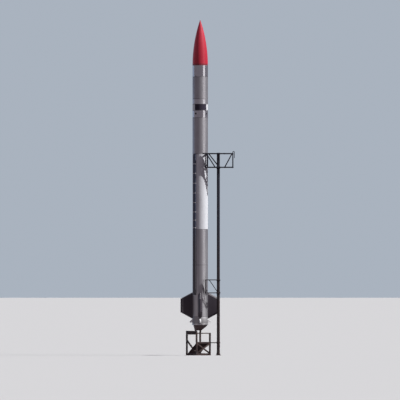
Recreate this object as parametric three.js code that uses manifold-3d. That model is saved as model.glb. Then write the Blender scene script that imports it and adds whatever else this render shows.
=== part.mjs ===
// A liquid-fuelled space rocket on its launch stand, with the service mast that stands beside it.
// Millimetres, +Z up. The rocket's axis is the Z axis, Z = 0 is the floor and -Y is the front.
// Angles are in degrees about +Z: 0 is the right side, -90 is the front.

import * as THREE from "three";
import { mergeVertices } from "three/addons/utils/BufferGeometryUtils.js";
import { ConvexGeometry } from "three/addons/geometries/ConvexGeometry.js";
import Module from "manifold-3d";

const wasm = await Module();
wasm.setup();

// Driving dimensions of the rocket.
const BODY_R = 254; // the tube is 20 inches across
const TIP_Z = 11081;
const SEAT = 0.3; // gap between two pieces that bear on each other
const SIDES = 48; // flats round the body

// Body sections from the nose down: name, top, bottom, finish.
const NOSE_BASE_Z = 9570;
const SECTIONS = [
  ["nose_shoulder", NOSE_BASE_Z, 9184, "polished"],
  ["payload_bay", 9184, 8458, "satin"],
  ["recovery_ring", 8458, 8286, "polished"],
  ["roll_pattern_ring", 8286, 8080, "black"],
  ["vent_ring", 8080, 7838, "polished"],
  ["forward_tube", 7838, 6646, "satin"],
  ["oxidiser_tank", 6646, 4158, "frost"],
  ["fuel_tank", 4158, 2980, "satin"],
  ["engine_bay", 2980, 1270, "satin"],
];

// Round ports sunk in a section: section, height, port radius, port depth. Each row is four ports.
const PORTS = [
  ["nose_shoulder", 9210, 18, 12],
  ["vent_ring", 7973, 30, 14],
];
const PORT_TURN = 55; // from the front towards the right side

// Tail: an open skirt closed below by the base ring, which stands on the launch stool.
const SKIRT = { top: 1270, bottom: 1046, inner: 200 };
const BASE_RING = { top: 1046, bottom: 1000, outer: 266, inner: 125 };

// Engine on its two-axis gimbal, pivot height first.
const PIVOT_Z = 1125;
const CHAMBER = { radius: 55, top: 1180, neckTop: 1075 };
const THROAT = { radius: 34, z: 1035 };
const EXIT = { radius: 80, z: 885 };
const NOZZLE_WALL = 4;
const GIMBAL = { inner: 72, outer: 90, height: 30 };
const TRUNNION = { radius: 10, play: 0.4, reach: 112 };
const YOKE = { inner: 98, outer: 114, halfWidth: 25, foot: 1102, plate: 26 };

// Fins: a six-sided section with bevelled leading, trailing and tip edges.
const FIN = {
  tipR: 650,
  rootTop: 2082,
  rootBottom: 1205,
  tipTop: 1871,
  tipBottom: 1419,
  thick: 108,
  edgeBevel: 62,
  tipBevel: 78,
  tipThick: 14,
};
const FINS = { fin_right: 0, fin_back: 90, fin_left: 180, fin_front: -90 };

// Hold-down lugs under the fins: outline from the body out, as radius and height.
const LUG_OUTLINE = [
  [200, 1073],
  [286, 1073],
  [300, 1098],
  [314, 1073],
  [340, 1073],
  [346, 1122],
  [258, 1200],
  [200, 1200],
];
const LUG_THICK = 60;
const LUGS = { lug_right: 0, lug_back: 90, lug_left: 180, lug_front: -90 };

// Raceway: a covered cable channel with a sloped end at top and bottom.
const RACEWAY = { angle: -135, top: 6646, bottom: 1993, width: 120, outerR: 286, slope: 60 };

// Launch stand: a square frame of tube, turned, its centre beside the rocket's axis.
const STAND = { x: -60, turn: 36.2, side: 544, tube: 48 };
const BASE_H = 66;
const TOP_RAIL = { bottom: 712, height: 30, width: 36 };
const HEADER = { top: 808, thick: 40, below: 686 }; // below: foot of the top frame's deep side
const MID_RAIL = { bottom: 389, top: 445, thick: 35 };
const SOLE = { width: 90, height: 12 };
const BRACE = 44;
const LEFT_BRACE_TOP = 488;
const DEFLECTOR = { halfWidth: 236, thick: 12, flange: 40 };

// Launch stool: a ring that carries the rocket, a cone under it and four legs on the top frame.
// The cone leans towards the middle of the stand.
const STOOL = { ringOuter: 222, ringInner: 160, ringBottom: 962, lean: -70 };
const CONE = { topR: 216, bottomR: 124, bottom: 822, lip: 14, wall: 6 };
const LEG = { size: 28, circle: 104 };

// Service mast and its fittings.
const MAST = { x: 598, y: -220, radius: 51, top: 6680 };
const MAST_SIDES = 24;
const MAST_FOOT = { radius: 85, thick: 14, socketR: 62, socketTop: 70 };
const COLLAR = { radius: 62, height: 30 };
const TIE = { z: 416, bar: 30, clampR: 60, clampHeight: 50 };

// Swing arms: trusses of square bar, across the view. Heights are of the outer faces of the bars.
// The sizes are of the long bars, the inner posts and the diagonals.
const ARM_HALF = 76; // from the mast's axis to the middle of a side frame
const SLEEVE = { inner: 52.5, outer: 64, height: 48, plate: 48 };
const UPPER = { bottom: 6180, top: 6672, bar: 40, post: 36, diagonal: 36 };
const LOWER = { bottom: 2046, top: 2502, bar: 28, post: 40, diagonal: 22 };
const TINE_END = 78; // the tine is the front top bar, carried on past the front of the body
const CROSS_BAR = 800;
const OUTER_POST = 1076;

// Side frames: side of the mast's axis (-1 is the front), inner post, outer end of the long bars.
const UPPER_FRAMES = [
  [-1, 174, OUTER_POST],
  [1, 246, OUTER_POST],
];
const LOWER_FRAMES = [[-1, 187, 598]];

// Diagonals: side, X at the top bar, X at the bottom bar.
const UPPER_DIAGONALS = [
  [-1, 202, 494],
  [1, 280, 630],
  [-1, 1050, 806],
  [1, 1050, 806],
];
const LOWER_DIAGONALS = [[-1, 298, 590]];
const GOOSENECK = { bar: 22, rise: 48, reach: 50, drop: 150 };

const FINISH = {
  red: [0xb01f33, 0.32, 0.1],
  polished: [0xc9ccd2, 0.22, 0.95],
  satin: [0xb4b6bc, 0.38, 0.9],
  frost: [0xf2f4f6, 0.85, 0],
  black: [0x1b1a1d, 0.5, 0.1],
  bright: [0xe4e4e6, 0.35, 0.6],
  steel: [0x2a2222, 0.6, 0.3],
  heat: [0x3a3432, 0.55, 0.7],
};
const materials = Object.fromEntries(
  Object.entries(FINISH).map(([name, [color, roughness, metalness]]) => [
    name,
    new THREE.MeshStandardMaterial({ name, color, roughness, metalness }),
  ]),
);

const radians = THREE.MathUtils.degToRad;

// Booleans.

function solidOf(geometry) {
  const bare = geometry.index ? geometry.toNonIndexed() : geometry.clone();
  bare.deleteAttribute("normal");
  bare.deleteAttribute("uv");
  const merged = mergeVertices(bare, 1e-3);
  return new wasm.Manifold(
    new wasm.Mesh({
      numProp: 3,
      vertProperties: merged.attributes.position.array,
      triVerts: new Uint32Array(merged.index.array),
    }),
  );
}

function geometryOf(solid) {
  const { vertProperties, triVerts } = solid.getMesh();
  const indexed = new THREE.BufferGeometry()
    .setAttribute("position", new THREE.BufferAttribute(vertProperties, 3))
    .setIndex(new THREE.BufferAttribute(triVerts, 1));
  const flat = indexed.toNonIndexed();
  flat.computeVertexNormals();
  return flat;
}

const join = (...shapes) => geometryOf(shapes.map(solidOf).reduce((a, b) => a.add(b)));

const cut = (shape, ...tools) =>
  geometryOf(tools.map(solidOf).reduce((a, b) => a.subtract(b), solidOf(shape)));

// Basic shapes.

// A turned solid: the profile is pairs of radius and height, going up the outside.
function turned(profile, sides = SIDES) {
  const points = profile.map(([r, z]) => new THREE.Vector2(r, z));
  return new THREE.LatheGeometry(points, sides).rotateX(Math.PI / 2);
}

const disc = (radius, bottom, top, sides = SIDES) =>
  turned([[0, bottom], [radius, bottom], [radius, top], [0, top]], sides);

const ring = (inner, outer, bottom, top, sides = SIDES) =>
  turned([[inner, bottom], [outer, bottom], [outer, top], [inner, top], [inner, bottom]], sides);

// A box from its low corner to its high corner.
function block([x0, y0, z0], [x1, y1, z1]) {
  return new THREE.BoxGeometry(x1 - x0, y1 - y0, z1 - z0).translate(
    (x0 + x1) / 2,
    (y0 + y1) / 2,
    (z0 + z1) / 2,
  );
}

// A plate cut to an outline of X and Z pairs, its thickness centred on Y = 0.
function plate(outline, thick) {
  const shape = new THREE.Shape(outline.map(([x, z]) => new THREE.Vector2(x, z)));
  return new THREE.ExtrudeGeometry(shape, { depth: thick, bevelEnabled: false })
    .translate(0, 0, -thick / 2)
    .rotateX(Math.PI / 2);
}

// A round pin along X, or along Y, between two distances from the axis.
function pin(axis, radius, from, to, z) {
  const rod = new THREE.CylinderGeometry(radius, radius, to - from, 16);
  rod.translate(0, (from + to) / 2, 0);
  if (axis === "x") rod.rotateZ(-Math.PI / 2);
  return rod.translate(0, 0, z);
}

// A square bar between two points.
function bar(from, to, size) {
  const start = new THREE.Vector3(...from);
  const along = new THREE.Vector3(...to).sub(start);
  const length = along.length();
  const z = along.clone().normalize();
  const x = new THREE.Vector3(0, 0, 1).cross(z);
  if (x.length() < 1e-6) x.set(1, 0, 0);
  x.normalize();
  const y = z.clone().cross(x);
  return new THREE.BoxGeometry(size, size, length)
    .translate(0, 0, length / 2)
    .applyMatrix4(new THREE.Matrix4().makeBasis(x, y, z))
    .translate(start.x, start.y, start.z);
}

// Room for the body, used to shape what is fastened to its side.
const bodyRoom = (bottom, top) => disc(BODY_R + SEAT, bottom, top);

// The part.

const part = new THREE.Group();

function add(parent, name, geometry, finish) {
  const mesh = new THREE.Mesh(geometry, materials[finish]);
  mesh.name = name;
  parent.add(mesh);
}

// A tangent ogive: the side is one arc that meets the tube without a corner and ends in a point.
function nose() {
  const length = TIP_Z - NOSE_BASE_Z;
  const arc = (BODY_R ** 2 + length ** 2) / (2 * BODY_R);
  const steps = 16;
  const side = Array.from({ length: steps }, (_, i) => {
    const rise = (length * i) / steps;
    return [Math.sqrt(arc ** 2 - rise ** 2) + BODY_R - arc, NOSE_BASE_Z + rise];
  });
  return turned([[0, NOSE_BASE_Z], ...side, [0, TIP_Z]]);
}

function section(name, top, bottom) {
  const tube = disc(BODY_R, bottom, top);
  const row = PORTS.find(([owner]) => owner === name);
  if (!row) return tube;
  const [, z, radius, depth] = row;
  const tools = [0, 90, 180, 270].map((turn) =>
    pin("x", radius, BODY_R - depth, BODY_R + depth, z).rotateZ(radians(PORT_TURN - 90 + turn)),
  );
  return cut(tube, ...tools);
}

function rocketBody(rocket) {
  add(rocket, "nose_cone", nose(), "red");
  for (const [name, top, bottom, finish] of SECTIONS)
    add(rocket, name, section(name, top, bottom), finish);
  add(rocket, "tail_skirt", ring(SKIRT.inner, BODY_R, SKIRT.bottom, SKIRT.top), "satin");
  const { inner, outer, bottom, top } = BASE_RING;
  add(rocket, "base_ring", ring(inner, outer, bottom, top), "bright");
}

// The corners of a six-sided wing section lofted to the tip, before the body's room is cut away.
function fin() {
  const innerR = 200;
  const sweepTop = (FIN.rootTop - FIN.tipTop) / (FIN.tipR - BODY_R);
  const sweepBottom = (FIN.tipBottom - FIN.rootBottom) / (FIN.tipR - BODY_R);
  const topEdge = (r) => FIN.rootTop - sweepTop * (r - BODY_R);
  const bottomEdge = (r) => FIN.rootBottom + sweepBottom * (r - BODY_R);
  const points = [];
  for (const [r, half, bevel] of [
    [innerR, FIN.thick / 2, FIN.edgeBevel],
    [FIN.tipR - FIN.tipBevel, FIN.thick / 2, FIN.edgeBevel],
    [FIN.tipR, FIN.tipThick / 2, FIN.tipThick / 2],
  ]) {
    for (const side of [-1, 1]) {
      points.push(new THREE.Vector3(r, side * half, topEdge(r) - bevel));
      points.push(new THREE.Vector3(r, side * half, bottomEdge(r) + bevel));
    }
    points.push(new THREE.Vector3(r, 0, topEdge(r)));
    points.push(new THREE.Vector3(r, 0, bottomEdge(r)));
  }
  return cut(new ConvexGeometry(points), bodyRoom(FIN.rootBottom - 100, FIN.rootTop + 100));
}

function sideFittings(rocket) {
  for (const [name, angle] of Object.entries(FINS))
    add(rocket, name, shapedAt(fin(), angle), "black");
  const lugRoom = bodyRoom(SKIRT.bottom - 100, SKIRT.top + 100);
  for (const [name, angle] of Object.entries(LUGS))
    add(rocket, name, shapedAt(cut(plate(LUG_OUTLINE, LUG_THICK), lugRoom), angle), "bright");
  const { angle, top, bottom, width, outerR, slope } = RACEWAY;
  const side = [
    [200, bottom],
    [BODY_R + 4, bottom],
    [outerR, bottom + slope],
    [outerR, top - slope],
    [BODY_R + 4, top],
    [200, top],
  ];
  const channel = cut(plate(side, width), bodyRoom(bottom - 100, top + 100));
  add(rocket, "raceway", shapedAt(channel, angle), "black");
}

const shapedAt = (geometry, angle) => geometry.rotateZ(radians(angle));

// Engine bay seen from below: the yoke under the bay's floor, the gimbal ring and the engine.
function engine(rocket) {
  const { radius, play, reach } = TRUNNION;
  const hole = radius + play;
  const top = SKIRT.top - SEAT;
  const lugs = [-1, 1].map((side) =>
    block(
      [side > 0 ? YOKE.inner : -YOKE.outer, -YOKE.halfWidth, YOKE.foot],
      [side > 0 ? YOKE.outer : -YOKE.inner, YOKE.halfWidth, top - YOKE.plate / 2],
    ),
  );
  const yoke = join(disc(YOKE.outer + 12, top - YOKE.plate, top), ...lugs);
  add(rocket, "thrust_yoke", cut(yoke, pin("x", hole, -reach - 10, reach + 10, PIVOT_Z)), "heat");

  const half = GIMBAL.height / 2;
  const hoop = ring(GIMBAL.inner, GIMBAL.outer, PIVOT_Z - half, PIVOT_Z + half);
  const drilled = cut(hoop, pin("y", hole, -reach, reach, PIVOT_Z));
  const outward = [
    pin("x", radius, GIMBAL.outer - 4, reach, PIVOT_Z),
    pin("x", radius, -reach, 4 - GIMBAL.outer, PIVOT_Z),
  ];
  add(rocket, "gimbal_ring", join(drilled, ...outward), "heat");

  const bell = (wall) =>
    [0, 0.25, 0.5, 0.75, 1].map((t) => [
      THROAT.radius - wall + (EXIT.radius - THROAT.radius) * Math.sin((t * Math.PI) / 2),
      THROAT.z + (EXIT.z - THROAT.z) * t,
    ]);
  const inside = [
    [0, CHAMBER.top - 20],
    [CHAMBER.radius - 10, CHAMBER.top - 20],
    [CHAMBER.radius - 10, CHAMBER.neckTop],
    ...bell(NOZZLE_WALL),
  ];
  const outside = [
    ...bell(0).reverse(),
    [CHAMBER.radius, CHAMBER.neckTop],
    [CHAMBER.radius, CHAMBER.top],
    [0, CHAMBER.top],
  ];
  const stubs = [
    pin("y", radius, CHAMBER.radius - 5, GIMBAL.outer - 2, PIVOT_Z),
    pin("y", radius, 2 - GIMBAL.outer, 5 - CHAMBER.radius, PIVOT_Z),
  ];
  add(rocket, "engine", join(turned([...inside, ...outside], 32), ...stubs), "heat");
}

// Launch stool. Its lower ring and legs are shifted towards the middle of the stand.
function stool(parent) {
  const top = BASE_RING.bottom - SEAT;
  const foot = TOP_RAIL.bottom + TOP_RAIL.height + SEAT;
  const { ringOuter, ringInner, ringBottom, lean } = STOOL;
  const { topR, bottomR, bottom, lip, wall } = CONE;
  const upper = ringBottom + 2;
  const skirt = turned([
    [bottomR - wall, bottom],
    [bottomR, bottom],
    [bottomR, bottom + lip],
    [topR, upper],
    [topR - wall, upper],
    [bottomR - wall, bottom + lip],
    [bottomR - wall, bottom],
  ]);
  const slope = lean / (bottom - upper);
  const shear = new THREE.Matrix4().set(1, 0, slope, -slope * upper, 0, 1, 0, 0, 0, 0, 1, 0, 0, 0, 0, 1);
  const half = LEG.size / 2;
  const legs = [0, 90, 180, 270].map((turn) =>
    block([LEG.circle - half, -half, foot], [LEG.circle + half, half, bottom + lip])
      .rotateZ(radians(STAND.turn + turn))
      .translate(lean, 0, 0),
  );
  const shape = join(ring(ringInner, ringOuter, ringBottom, top), skirt.applyMatrix4(shear), ...legs);
  add(parent, "launch_stool", shape, "steel");
}

// The stand in its own turned frame. The corners are named for where they stand in plan.
function stand(parent) {
  const group = new THREE.Group();
  group.position.x = STAND.x;
  group.rotation.z = radians(STAND.turn);
  parent.add(group);

  const half = STAND.side / 2;
  const tube = STAND.tube / 2;
  const inside = half - tube; // clear half width between the posts
  const corners = {
    left: [-half, half],
    front: [-half, -half],
    right: [half, -half],
    back: [half, half],
  };
  // Points on the rocket's axis and on the stool's own axis, in this frame.
  const inFrame = (x) =>
    new THREE.Vector2(x - STAND.x, 0).rotateAround(new THREE.Vector2(), -radians(STAND.turn));
  const axis = inFrame(0);
  const stoolAxis = inFrame(STOOL.lean);

  const outer = half + tube;
  const baseRing = cut(
    block([-outer, -outer, 0], [outer, outer, BASE_H]),
    block([-inside, -inside, -1], [inside, inside, BASE_H + 1]),
  );
  const soleHalf = SOLE.width / 2;
  const sole = block([-inside - 5, axis.y - soleHalf, 0], [inside + 5, axis.y + soleHalf, SOLE.height]);
  add(group, "stand_base_frame", join(baseRing, sole), "steel");

  const postBottom = BASE_H + SEAT;
  const postTop = TOP_RAIL.bottom - SEAT;
  for (const [corner, [x, y]] of Object.entries(corners)) {
    const post = block([x - tube, y - tube, postBottom], [x + tube, y + tube, postTop]);
    add(group, "stand_post_" + corner, post, "steel");
  }

  const railTop = TOP_RAIL.bottom + TOP_RAIL.height;
  const innerEdge = outer - TOP_RAIL.width;
  const topRing = cut(
    block([-outer, -outer, TOP_RAIL.bottom], [outer, outer, railTop]),
    block([-innerEdge, -innerEdge, 0], [innerEdge, innerEdge, railTop + 1]),
  );
  const reach = innerEdge + 5;
  const beams = [-1, 1].flatMap((side) => {
    const x = stoolAxis.x + side * LEG.circle;
    const y = stoolAxis.y + side * LEG.circle;
    const w = TOP_RAIL.width / 2;
    return [
      block([x - w, -reach, TOP_RAIL.bottom], [x + w, reach, railTop]),
      block([-reach, y - w, TOP_RAIL.bottom], [reach, y + w, railTop]),
    ];
  });
  const clear = inside - SEAT;
  const headerInner = -outer + HEADER.thick;
  const deepSide = block([-outer, -clear, HEADER.below], [headerInner, clear, railTop]);
  add(group, "stand_top_frame", join(topRing, deepSide, ...beams), "steel");

  const header = block([-outer, -outer, railTop + SEAT], [headerInner, outer, HEADER.top]);
  add(group, "stand_header", header, "steel");

  const railHalf = MID_RAIL.thick / 2;
  const midRail = block([-clear, -half - railHalf, MID_RAIL.bottom], [clear, -half + railHalf, MID_RAIL.top]);
  add(group, "stand_mid_rail", midRail, "steel");

  // Room for the posts, the base frame and the middle rail, used to trim the braces.
  const room = [
    ...Object.values(corners).map(([x, y]) =>
      block([x - tube - SEAT, y - tube - SEAT, 0], [x + tube + SEAT, y + tube + SEAT, postTop]),
    ),
    block([-outer, -outer, 0], [outer, outer, BASE_H + SEAT]),
    block([-outer, -half - tube, MID_RAIL.bottom - SEAT], [outer, -half + tube, MID_RAIL.top + SEAT]),
  ];
  const low = BASE_H + 5;
  const high = MID_RAIL.bottom - 5;
  const cross = join(
    bar([-inside - 10, -half, low], [inside + 10, -half, high], BRACE),
    bar([-inside - 10, -half, high], [inside + 10, -half, low], BRACE),
  );
  add(group, "stand_cross_brace", cut(cross, ...room), "steel");
  const single = bar([-half, inside + 10, LEFT_BRACE_TOP], [-half, -inside - 10, low], BRACE);
  add(group, "stand_side_brace", cut(single, ...room), "steel");

  // Flame deflector: a sloping plate with a flange turned down along each side.
  const lowEdge = half + tube - 30;
  const highEdge = -half + railHalf + SEAT;
  const slope = (MID_RAIL.top - BASE_H) / (highEdge - lowEdge);
  const run = DEFLECTOR.thick * 1.6;
  const slab = (drop, width) =>
    new THREE.ExtrudeGeometry(
      new THREE.Shape(
        [
          [lowEdge - run - drop, BASE_H + SEAT],
          [lowEdge, BASE_H + SEAT],
          [highEdge, MID_RAIL.top],
          [highEdge, MID_RAIL.top + slope * (run + drop)],
        ].map(([y, z]) => new THREE.Vector2(y, z)),
      ),
      { depth: width, bevelEnabled: false },
    )
      .rotateX(Math.PI / 2)
      .rotateZ(Math.PI / 2);
  const { halfWidth, thick, flange } = DEFLECTOR;
  const flanges = [-halfWidth, halfWidth - thick].map((x) => slab(flange, thick).translate(x, 0, 0));
  const sheet = slab(0, 2 * halfWidth).translate(-halfWidth, 0, 0);
  add(group, "flame_deflector", cut(join(sheet, ...flanges), ...room.slice(0, 4)), "heat");
}

// Service mast: a pipe in a flanged foot, with a stop collar under each arm.
function mast(parent) {
  const group = new THREE.Group();
  group.position.set(MAST.x, MAST.y, 0);
  parent.add(group);

  const { radius, thick, socketR, socketTop } = MAST_FOOT;
  const fit = MAST.radius + SEAT;
  add(group, "mast", disc(MAST.radius, thick + SEAT, MAST.top, MAST_SIDES), "steel");
  const socket = ring(fit, socketR, thick - 2, socketTop, MAST_SIDES);
  add(group, "mast_foot", join(disc(radius, 0, thick, MAST_SIDES), socket), "steel");
  for (const [name, arm] of [["mast_collar_upper", UPPER], ["mast_collar_lower", LOWER]]) {
    const top = arm.bottom - SEAT;
    add(group, name, ring(fit, COLLAR.radius, top - COLLAR.height, top, MAST_SIDES), "steel");
  }
}

// The tie between the stand's right post and a clamp on the mast, trimmed to both.
function mastTie(parent) {
  const turn = radians(STAND.turn);
  const half = STAND.side / 2;
  const post = new THREE.Vector2(half, -half).rotateAround(new THREE.Vector2(), turn);
  post.x += STAND.x;
  const link = bar([post.x, post.y, TIE.z], [MAST.x, MAST.y, TIE.z], TIE.bar);
  const halfClamp = TIE.clampHeight / 2;
  const onMast = (geometry) => geometry.translate(MAST.x, MAST.y, 0);
  const clamp = onMast(disc(TIE.clampR, TIE.z - halfClamp, TIE.z + halfClamp, MAST_SIDES));
  const bore = onMast(disc(MAST.radius + SEAT, 0, 2 * TIE.z, MAST_SIDES));
  const size = STAND.tube / 2 + SEAT;
  const postRoom = block([-size, -size, 0], [size, size, 2 * TIE.z])
    .rotateZ(turn)
    .translate(post.x, post.y, 0);
  add(parent, "mast_tie", cut(join(link, clamp), bore, postRoom), "steel");
}

// The bars of one arm: side frames, diagonals and two sleeves, each sleeve with a plate to every frame.
function armTruss(arm, frames, diagonals) {
  const { bottom, top } = arm;
  const half = arm.bar / 2;
  const high = top - half;
  const low = bottom + half;
  const yOf = (side) => MAST.y + side * ARM_HALF;
  const pieces = [];
  for (const [from, to] of [[bottom, bottom + SLEEVE.height], [top - SLEEVE.height, top]]) {
    pieces.push(disc(SLEEVE.outer, from, to, MAST_SIDES).translate(MAST.x, MAST.y, 0));
    for (const [side] of frames) {
      const [y0, y1] = [MAST.y, yOf(side)].sort((a, b) => a - b);
      pieces.push(block([MAST.x - SLEEVE.plate, y0, from], [MAST.x + SLEEVE.plate, y1, to]));
    }
  }
  for (const [side, inner, outer] of frames) {
    const y = yOf(side);
    const start = inner - arm.post / 2;
    for (const z of [low, high]) pieces.push(bar([start, y, z], [outer + half, y, z], arm.bar));
    pieces.push(bar([inner, y, low], [inner, y, high], arm.post));
  }
  for (const [side, highX, lowX] of diagonals)
    pieces.push(bar([highX, yOf(side), high], [lowX, yOf(side), low], arm.diagonal));
  return pieces;
}

const sleeveBore = ({ bottom, top }) =>
  disc(SLEEVE.inner, bottom - 100, top + 100, MAST_SIDES).translate(MAST.x, MAST.y, 0);

// A round bar that rises from the upper arm's outer end, bends outward and hangs down.
function gooseneck() {
  const { rise, reach, drop } = GOOSENECK;
  const start = new THREE.Vector3(OUTER_POST, MAST.y - ARM_HALF, UPPER.top - UPPER.bar / 2);
  const points = [
    [0, 0],
    [0, rise],
    [reach * 0.25, rise + 22],
    [reach * 0.75, rise + 22],
    [reach, rise],
    [reach, -drop],
  ].map(([x, z]) => new THREE.Vector3(start.x + x, start.y, start.z + z));
  const round = new THREE.Shape().absarc(0, 0, GOOSENECK.bar / 2, 0, 2 * Math.PI, false);
  const path = new THREE.CatmullRomCurve3(points, false, "catmullrom", 0.3);
  return new THREE.ExtrudeGeometry(round, { steps: 24, curveSegments: 4, extrudePath: path });
}

function arms(parent) {
  const front = MAST.y - ARM_HALF;
  const back = MAST.y + ARM_HALF;
  const low = UPPER.bottom + UPPER.bar / 2;
  const high = UPPER.top - UPPER.bar / 2;
  const [frontInner, backInner] = UPPER_FRAMES.map(([, inner]) => inner);
  const upper = armTruss(UPPER, UPPER_FRAMES, UPPER_DIAGONALS);
  for (const y of [front, back])
    upper.push(bar([OUTER_POST, y, low], [OUTER_POST, y, high], UPPER.bar));
  for (const z of [low, high]) {
    upper.push(bar([frontInner, front, z], [backInner, back, z], UPPER.bar));
    for (const x of [CROSS_BAR, OUTER_POST])
      upper.push(bar([x, front, z], [x, back, z], UPPER.bar));
  }
  upper.push(bar([TINE_END, front, high], [frontInner, front, high], UPPER.bar), gooseneck());
  add(parent, "upper_arm", cut(join(...upper), sleeveBore(UPPER)), "steel");
  const lower = armTruss(LOWER, LOWER_FRAMES, LOWER_DIAGONALS);
  add(parent, "lower_arm", cut(join(...lower), sleeveBore(LOWER)), "steel");
}

const rocket = new THREE.Group();
part.add(rocket);
rocketBody(rocket);
sideFittings(rocket);
engine(rocket);
stool(part);
stand(part);
mast(part);
mastTie(part);
arms(part);

export default part;
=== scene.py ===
"""The looks of a slim space rocket on its launch stand, with its mast and swing arms.

Metres, +Z up. The rocket's axis is the Z axis, Z = 0 is the floor and -Y is the front. Angles are
about +Z: 0 is the right side and -90 degrees is the front. New shapes are arrays of points and of
faces, worked out with numpy.
"""

import math

import bpy
import numpy as np
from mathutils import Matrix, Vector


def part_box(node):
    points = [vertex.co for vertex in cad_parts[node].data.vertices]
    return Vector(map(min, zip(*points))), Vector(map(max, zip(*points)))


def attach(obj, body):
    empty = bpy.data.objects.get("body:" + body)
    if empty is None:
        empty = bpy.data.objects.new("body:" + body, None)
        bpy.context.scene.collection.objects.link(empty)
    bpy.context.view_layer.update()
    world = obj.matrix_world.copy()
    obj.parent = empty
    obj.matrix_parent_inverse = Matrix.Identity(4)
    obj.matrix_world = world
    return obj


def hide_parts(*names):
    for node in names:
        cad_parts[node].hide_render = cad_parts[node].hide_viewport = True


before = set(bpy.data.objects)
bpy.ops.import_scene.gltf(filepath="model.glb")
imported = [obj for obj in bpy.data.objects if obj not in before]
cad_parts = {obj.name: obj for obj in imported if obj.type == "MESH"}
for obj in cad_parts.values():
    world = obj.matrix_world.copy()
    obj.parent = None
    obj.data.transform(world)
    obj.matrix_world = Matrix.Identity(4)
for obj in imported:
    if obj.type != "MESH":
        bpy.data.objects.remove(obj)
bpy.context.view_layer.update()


# Sizes, from the frame where it has them.


def span(node):
    """Lowest and highest point of a node."""
    low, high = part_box(node)
    return low.z, high.z


BODY_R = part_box("fuel_tank")[1].x
NOSE_BASE, NOSE_TIP = span("nose_cone")
TURNS = 192  # points round the body
GROOVE = 0.0025  # the shallow groove where two sections meet
SEAT = 0.0003  # the gap that a piece keeps from what it bears on
SKIRT_BORE, BASE_RING_BORE = 0.2, 0.125

# Round ports sunk in a section: height, radius, depth. Each row is four ports.
PORTS = {"nose_shoulder": (9.21, 0.018, 0.012), "vent_ring": (7.973, 0.03, 0.014)}
PORT_TURNS = np.radians([-125, -35, 55, 145])
PORT_EDGE = 0.01  # how far the fine part of the skin goes past a port
PORT_STEPS = 45

# Sections of the body, with the finish of each.
SECTIONS = {
    "nose_shoulder": "polished",
    "payload_bay": "satin",
    "recovery_ring": "dulled",
    "roll_pattern_ring": "roll",
    "vent_ring": "polished",
    "forward_tube": "satin",
    "oxidiser_tank": "frost",
    "fuel_tank": "satin",
    "engine_bay": "satin",
}

# The pattern on the roll ring: the tangents of what it is turned by and of half a black patch.
ROLL_TURN, ROLL_BLACK = 0.07, 1.09

# Raceway on the body's side, with the heights of the straps that hold it on the white tank.
RACEWAY_TURN = math.radians(-135)
RACEWAY = {"width": 0.12, "outer": 0.286, "slope": 0.06}
STRAP_HEIGHTS = [6.313, 6.0, 5.676, 5.35, 5.036, 4.729, 4.458, 4.207]
STRAP = {"tall": 0.022, "thick": 0.003, "wide": 0.03}
LAP = {"tall": 0.024, "thick": 0.0015, "wide": 0.006}
LAPS = {"first": 0.4, "every": 0.62, "below": 4.0}

# Fins: section and outline, the strips at their roots, and the lugs under them.
FIN_TURNS = {"fin_right": 0, "fin_back": 90, "fin_left": 180, "fin_front": -90}
FIN = {
    "tip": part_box("fin_right")[1].x,
    "thick": 0.108,
    "edge_bevel": 0.062,
    "tip_bevel": 0.078,
    "tip_thick": 0.014,
    "root_top": 2.082,
    "root_bottom": 1.205,
    "tip_top": 1.871,
    "tip_bottom": 1.419,
}
FIN_SLOPE = (FIN["root_top"] - FIN["tip_top"]) / (FIN["tip"] - BODY_R)
FIN_STRIP = {"end": 0.075, "bolts": 12}
LUG = {"foot": 1.0735, "top": 1.1995, "tip": 0.346, "half_root": 0.03, "half_tip": 0.01}

# Engine, pivot height first, and what it hangs in.
PIVOT = 1.125
YOKE = {"radius": 0.126, "plate": 0.026, "ears": (0.098, 0.114), "ear_half": 0.025}
GIMBAL = {"inner": 0.072, "outer": 0.09, "half": 0.015}
CHAMBER = {"radius": 0.055, "top": 1.18, "neck_top": 1.075}
THROAT = {"radius": 0.034, "z": 1.035}
EXIT = {"radius": 0.08, "z": 0.885}
NOZZLE_WALL = 0.004

# Launch stool: a ring, a cone under it that leans in X, and four legs on a circle.
STOOL = {"inner": 0.16, "outer": 0.222, "bottom": 0.962}
CONE = {"top": 0.964, "wide": 0.216, "bottom": 0.822, "narrow": 0.124, "wall": 0.006, "lean": -0.07}
LEG = {"circle": 0.104, "size": 0.028, "pad_half": 0.022, "pad_tall": 0.006}

# Launch stand: its turn and the middle lines of its square, and the distances to both faces.
STAND = {"x": -0.06, "turn": math.radians(36.2), "half": 0.272, "tube": 0.048}
HALF = STAND["half"]
OUTER, INSIDE = HALF + STAND["tube"] / 2, HALF - STAND["tube"] / 2
BASE_TOP = span("stand_base_frame")[1]
POSTS = {"left": (-1, 1), "front": (-1, -1), "right": (1, -1), "back": (1, 1)}
SOLE = {"half": 0.045, "thick": 0.012}
TOP_WIDE, HEADER_WIDE, RAIL_HALF = 0.036, 0.04, 0.0175
BRACE, SIDE_BRACE_TOP = 0.044, 0.488
DEFLECTOR = {"half_width": 0.236, "thick": 0.012, "flange": 0.04}

# The mast, and its tie to the stand.
MAST = {"x": 0.598, "y": -0.22, "radius": 0.051}
MAST_AXIS, MAST_FIT = (MAST["x"], MAST["y"]), MAST["radius"] + SEAT
MAST_FOOT = {"plate": 0.014, "socket": 0.062, "bolt_circle": 0.0735}
TIE = {"bar": 0.03, "clamp": 0.06}

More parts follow.
